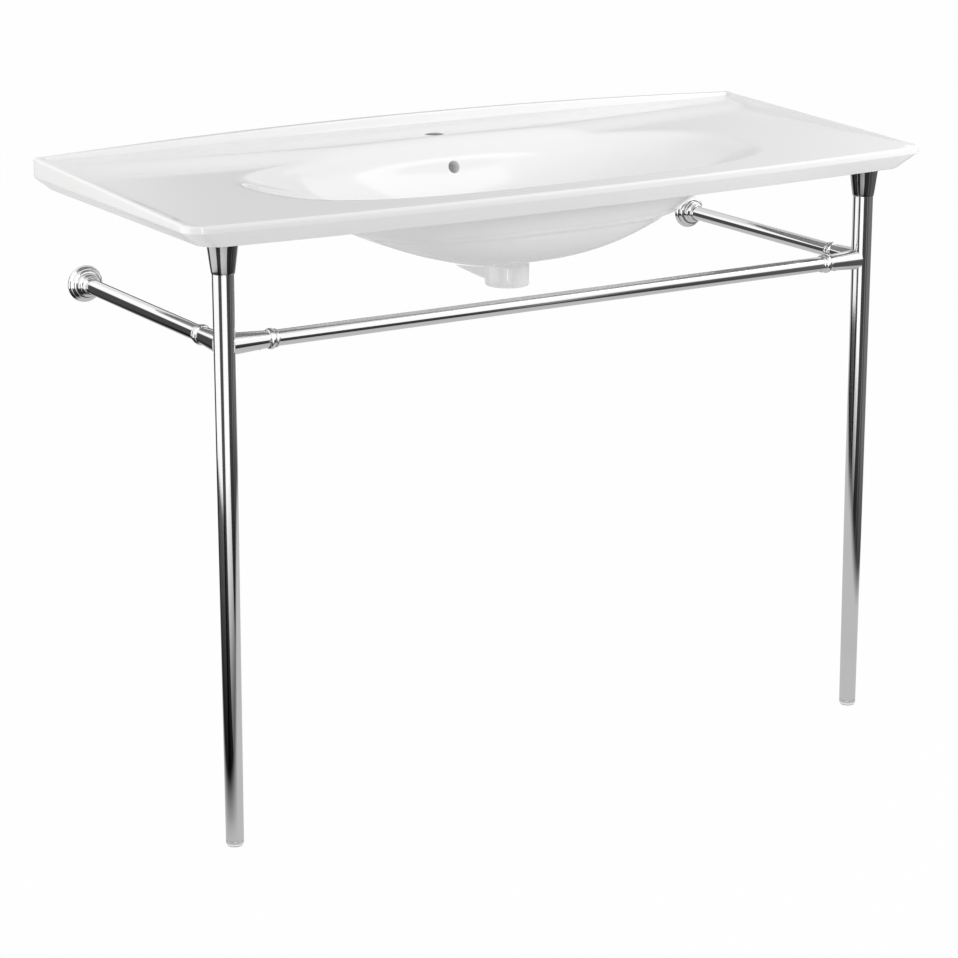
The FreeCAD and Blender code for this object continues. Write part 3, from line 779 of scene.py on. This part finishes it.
def makeWeb():
    # at each station a U: down one side, round two corners and up the other, open towards the bowl's wall
    outer, inner = alongLine(webOuter, web["stations"]), alongLine(webInner, web["stations"])
    w, c = web["width"] / 2, web["corner"]
    down = outer - inner
    depth = np.linalg.norm(down, axis=1, keepdims=True)
    down /= depth
    a = np.linspace(0, math.pi / 2, 7)
    across = np.concatenate([[-w, -w], -w + c - c * np.cos(a[1:]), w - c + c * np.sin(a), [w]])
    below = np.concatenate([[0, 1], 1 + 0 * a[1:], 1 + 0 * a, [0]])
    lift = np.concatenate([[0, c], c - c * np.sin(a[1:]), c - c * np.cos(a), [0]])
    along = depth[:, None, :] * below[None, :, None] - lift[None, :, None]
    place = inner[:, None, :] + down[:, None, :] * along
    x = np.broadcast_to(across, place.shape[:2])
    points = np.stack([x, wallY - place[..., 0], basin["deck"] - place[..., 1]], 2)
    middle = points.mean(1, keepdims=True)
    ends = [middle[:1].repeat(points.shape[1], 1), points, middle[-1:].repeat(points.shape[1], 1)]
    grid = np.concatenate(ends)
    faces = gridFaces(len(grid), grid.shape[1])
    points, sharpAngle = grid.reshape(-1, 3), basin["sharpAngle"]
    piece = makePiece("overflowWeb", points, faces, "sink", whiteGlaze, sharpAngle)
    mergeAndTurnOut(piece)
    return piece


def tapTool():
    # plain bore with a rounded lip, tangent to the ledge
    top, r, lip = basin["deck"] + basin["ledgeRise"], holes["tap"], holes["tapLip"]
    turns = np.radians(np.linspace(0, 90, 8))
    arc = [(r + lip - lip * math.cos(t), top + 0.04 - lip + lip * math.sin(t)) for t in turns]
    low, above = top - holes["tapDepth"], top + 3
    profile = [(0, low), (r, low)] + arc + [(r + lip + 0.6, above), (0, above)]
    # the bore's walls take the darkened under clay: painted shade down the tap hole
    return turnedTool("tapTool", profile, (0, wallY - holes["tapFromWall"], 0), (0, 0, 1), shadedUnderClay)


def glazeTapLip():
    # the rounded lip is glazed like the ledge round it
    lowest = basin["deck"] + basin["ledgeRise"] - holes["tapLip"]
    widest = holes["tap"] + holes["tapLip"] + 1
    middle = wallY - holes["tapFromWall"]
    for face in basinBody.data.polygons:
        x, y, z = (1000 * part for part in face.center)
        if z > lowest and math.hypot(x, y - middle) < widest:
            face.material_index = 0


def overflowTool(extra=0.0):
    # bore square to the bowl's rear wall, its slope taken from just above and just below
    u = np.interp(holes["overflowLevel"], bowlLevels[:, 0], knots)
    a, here, b = (np.array(bowlSize(u + step)) for step in (-4.0, 0.0, 4.0))
    slope = np.array([0, -(b[3] - a[3]), -(b[0] - a[0])])
    slope /= np.linalg.norm(slope)
    out = np.array([0, slope[2], -slope[1]])
    out = out if out[1] < 0 else -out
    mouth = np.array([0, wallY - here[3], basin["deck"] - here[0]])
    r, lip, depth = holes["overflow"] + extra, holes["overflowLip"], holes["overflowDepth"]
    turns = np.radians(np.linspace(0, 90, 6))
    arc = [(r + lip - lip * math.cos(t), -lip + lip * math.sin(t) + 0.05) for t in turns]
    profile = [(0, -depth), (r, -depth)] + arc + [(r + lip + 0.5, 4), (0, 4)]
    return turnedTool("overflowTool", profile, mouth, out, whiteGlaze)


def boltTools():
    z = basin["under"] + holes["wallRise"]
    r, depth = holes["wallHole"], basin["backWall"] + 3
    profile = [(0, -1), (r, -1), (r, depth), (0, depth)]
    places = [(side * holes["wallSpacing"] / 2, wallY, z) for side in sides.values()]
    # the bolt holes' walls take the darkened bare clay: painted shade inside them
    return [turnedTool("boltTool", profile, place, (0, -1, 0), bareShadedClay) for place in places]


def makeLegPads():
    low, top = basin["under"], basin["deck"] - legPad["intoDeck"]
    r, small, bore = legPad["radius"], legPad["edgeRound"], legPad["bore"]
    corner = [(r - small + x, low + small + z) for x, z in roundedCorner(small, (0, 0), -90, 0, 5)]
    profile = [(bore, low)] + corner + [(r, top), (bore, top)]
    for name, side in sides.items():
        turnedPiece(f"legPad_{name}", profile, (side * metal["legX"], legY, 0), (0, 0, 1), "sink",
                    whiteGlaze)


overflowWeb = makeWeb()
cutWith(overflowWeb, [overflowTool(web["boreGap"])])
cutWith(basinBody, [tapTool(), overflowTool()] + boltTools())
glazeTapLip()
makeLegPads()
print("holes cut:", triangleCount(basinBody), "triangles")


# nodes that show their own solids, each with a finish

keptFinish = {
    "capital_studs": turnedSteel, "socket_grub_screws": turnedSteel, "plate_screws": turnedSteel,
    "capital_pad_left": padRubber, "capital_pad_right": padRubber,
    "foot_insert_left": plugPlastic, "foot_insert_right": plugPlastic,
    "wall_plate_left": turnedSteel, "wall_plate_right": turnedSteel,
}
for name, material in keptFinish.items():
    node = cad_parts[name]
    for slot in node.material_slots:
        slot.material = material
    if not node.material_slots:
        node.data.materials.append(material)
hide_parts("basin")


# floor, backdrop, light and camera

studio = dict(
    world=0.75, floorColour=0.70, floorOwnLight=0.98, floorHalf=14.0,
    wallRadius=2.2, wallTop=3.0, wallLift=0.004, panel=1.25,
    nearFloor=0.62, nearReach=1.05, nearSoft=0.25,
)
# what the gloss sees round the object is a pale panel with darker patches on it: shade, start and end in
# degrees from straight ahead towards the left, softness of both ends, start and end of reach in metres
# outwards along the floor and then up the wall, softness of both ends
surroundings = dict(
    frontRight=(0.05, (-31, 11), (5, 1), (0.0, 2.77), (0.1, 0.10)),
    rightDim=(0.45, (-46, -31), (6, 4), (0.0, 2.77), (0.1, 0.10)),
    right=(0.16, (-112, -31), (1, 4), (0.0, 3.10), (0.1, 0.05)),
    left=(0.07, (52, 77), (1, 1), (0.0, 3.10), (0.1, 0.05)),
    leftFloor=(0.10, (64, 150), (8, 8), (0.0, 2.15), (0.1, 0.10)),
    backLow=(0.06, (132, 205), (1, 2), (0.0, 3.35), (0.1, 0.10)),
    backHigh=(0.40, (188, 236), (10, 34), (3.0, 3.75), (0.1, 0.10)),
    backTop=(0.70, (170, 242), (10, 20), (3.75, 5.2), (0.1, 0.20)),
    backTopRight=(0.60, (218, 250), (12, 20), (3.75, 5.2), (0.1, 0.20)),
)
# patches of added light, laid over the rest; the first number is the light and the others are as above
brighter = dict(
    strip=(6.0, (29, 33), (1, 1), (2.25, 5.3), (0.05, 0.10)),
    window=(1.80, (-63, -30), (2, 2), (4.1, 4.85), (0.05, 0.05)),
    behindFloor=(0.64, (168, 208), (3, 3), (1.5, 2.6), (0.1, 0.10)),
)
# the panel's light grows with the reach: reaches in metres and the share of the light at each
floorFade = ((0.0, 0.8, 1.0, 1.45, 2.0, 2.2), (0.08, 0.10, 0.17, 0.5, 0.88, 1.0))
# place, target, size and power of each lamp
lamps = dict(
    keyLamp=((1.7, -1.6, 1.45), (0, 0, 0.85), (1.2, 1.2), 20.0),
    leftLamp=((-2.6, 0.0, 1.0), (0, 0, 0.85), (1.4, 1.4), 17.0),
    softbox=((1.5, 0.35, 3.4), (0, 0.03, 0.82), (1.8, 0.6), 2.5),
)
# focal length in the picture's pixels, of which it is 958 wide; yaw to the right and pitch down in radians
view = dict(
    place=(-2.22327, -3.58770, 1.60603), yaw=0.549073, pitch=0.241291, focal=2985.82, pixels=958,
    sensor=36, shift=(0.001, -0.12),
)


def onlyDirect(tree):
    # 1 for what the camera and the gloss see, 0 for what lights the object
    path = addNode(tree, "ShaderNodeLightPath")
    rays = [path.outputs[name] for name in ("Is Camera Ray", "Is Glossy Ray", "Is Transmission Ray")]
    seen = addNode(tree, "ShaderNodeMath", {0: rays[0], 1: rays[1]}, operation="MAXIMUM")
    return addNode(tree, "ShaderNodeMath", {0: seen.outputs[0], 1: rays[2]}, operation="MAXIMUM").outputs[0]


def addStagePiece(name, points, faces):
    mesh = bpy.data.meshes.new(name)
    mesh.from_pydata(points, [], faces)
    piece = bpy.data.objects.new(name, mesh)
    bpy.context.scene.collection.objects.link(piece)
    return piece


def makeStage():
    world = bpy.data.worlds.new("studioWorld")
    bpy.context.scene.world = world
    world.use_nodes = True
    tree = world.node_tree
    background = tree.nodes["Background"]
    background.inputs["Color"].default_value = (1, 1, 1, 1)
    tree.links.new(ramp(tree, onlyDirect(tree), 0, 1, studio["world"], 1.0), background.inputs["Strength"])

    size, grey = studio["floorHalf"], studio["floorColour"]
    corners = [(-size, -size, 0), (size, -size, 0), (size, size, 0), (-size, size, 0)]
    floor = addStagePiece("floor", corners, [(0, 1, 2, 3)])
    colour = {"Base Color": (grey, grey, grey, 1), "Roughness": 0.9, "Specular IOR Level": 0.0}
    material, tree, shader = newMaterial("paleFloor", **colour)
    glow = addNode(tree, "ShaderNodeEmission", {"Color": (1, 1, 1, 1), "Strength": 1.0})
    share = ramp(tree, onlyDirect(tree), 0, 1, 0, studio["floorOwnLight"])
    mix = addNode(tree, "ShaderNodeMixShader", {0: share, 1: shader.outputs[0], 2: glow.outputs[0]})
    tree.links.new(mix.outputs[0], tree.nodes["Material Output"].inputs["Surface"])
    floor.data.materials.append(material)


def patchShare(value, ends, soft):
    # 1 between the two ends and 0 outside them, with a smooth step at each
    near = np.clip((value - ends[0]) / (2 * soft[0]) + 0.5, 0, 1)
    far = np.clip((ends[1] - value) / (2 * soft[1]) + 0.5, 0, 1)
    return near * near * (3 - 2 * near) * far * far * (3 - 2 * far)


def makeSurroundings():
    # a floor disc and an upright wall round the object, seen by the gloss alone; each patch takes its
    # share off the panel's light: light * (1 - (1 - shade) * step(angle) * step(reach))
    radius = studio["wallRadius"]
    floorReach, wallReach = np.linspace(0.01, radius, 70), radius + np.linspace(0.02, studio["wallTop"], 90)
    reach = np.concatenate([floorReach, wallReach])
    angle = np.linspace(-125, 235, 721)
    v, a = np.meshgrid(reach, angle, indexing="ij")
    fade = np.interp(v, *floorFade)
    light = studio["panel"] * fade
    for shade, angles, angleSoft, reaches, reachSoft in surroundings.values():
        light *= 1 - (1 - shade) * patchShare(a, angles, angleSoft) * patchShare(v, reaches, reachSoft)
    for extra, angles, angleSoft, reaches, reachSoft in brighter.values():
        light += extra * fade * patchShare(a, angles, angleSoft) * patchShare(v, reaches, reachSoft)
    out, turn = np.minimum(v, radius), np.radians(a)
    x, y, z = -out * np.sin(turn), -out * np.cos(turn), studio["wallLift"] + np.maximum(v - radius, 0)
    # the floor close to the object, a pale patch that lies to the right and stretches back
    away = np.hypot(x - 0.25, np.where(y < 0, y, y / 2))
    near = np.clip((studio["nearReach"] - away) / studio["nearSoft"], 0, 1)
    light = np.maximum(light, studio["nearFloor"] * near * (v < radius))
    faces = gridFaces(len(reach), len(angle))
    faces = faces[(faces[:, 1] - faces[:, 0]) == 1]
    wall = addStagePiece("surroundings", np.stack([x, y, z], 2).reshape(-1, 3).tolist(), faces.tolist())
    wall.data.attributes.new("light", "FLOAT", "POINT").data.foreach_set("value", light.ravel())
    material = bpy.data.materials.new("surroundings")
    material.use_nodes = True
    tree = material.node_tree
    tree.nodes.remove(tree.nodes["Principled BSDF"])
    level = addNode(tree, "ShaderNodeAttribute", attribute_name="light").outputs["Fac"]
    glow = addNode(tree, "ShaderNodeEmission", {"Color": (1, 1, 1, 1), "Strength": level})
    tree.links.new(glow.outputs[0], tree.nodes["Material Output"].inputs["Surface"])
    wall.data.materials.append(material)
    for ray in ("camera", "diffuse", "transmission", "shadow", "volume_scatter"):
        setattr(wall, f"visible_{ray}", False)


def addLamp(name, place, target, size, power):
    lamp = bpy.data.lights.new(name, "AREA")
    lamp.shape = "ELLIPSE"
    lamp.size, lamp.size_y = size
    lamp.energy = power
    holder = bpy.data.objects.new(name, lamp)
    bpy.context.scene.collection.objects.link(holder)
    holder.location = place
    holder.rotation_mode = "QUATERNION"
    holder.rotation_quaternion = (Vector(target) - Vector(place)).to_track_quat("-Z", "Y")
    holder.visible_camera = False
    holder.visible_glossy = False


def makeCamera():
    yaw, pitch = view["yaw"], view["pitch"]
    forward = Vector((math.sin(yaw) * math.cos(pitch), math.cos(yaw) * math.cos(pitch), -math.sin(pitch)))
    data = bpy.data.cameras.new("camera")
    data.sensor_width = view["sensor"]
    data.lens = view["sensor"] * view["focal"] / view["pixels"]
    data.shift_x, data.shift_y = view["shift"]
    data.clip_end = 100
    camera = bpy.data.objects.new("camera", data)
    bpy.context.scene.collection.objects.link(camera)
    camera.location = view["place"]
    camera.rotation_mode = "QUATERNION"
    camera.rotation_quaternion = forward.to_track_quat("-Z", "Y")
    bpy.context.scene.camera = camera


makeStage()
makeSurroundings()
for name, setting in lamps.items():
    addLamp(name, *setting)
makeCamera()
bpy.context.scene.view_settings.view_transform = "Standard"
print("stage, lamps and camera made")
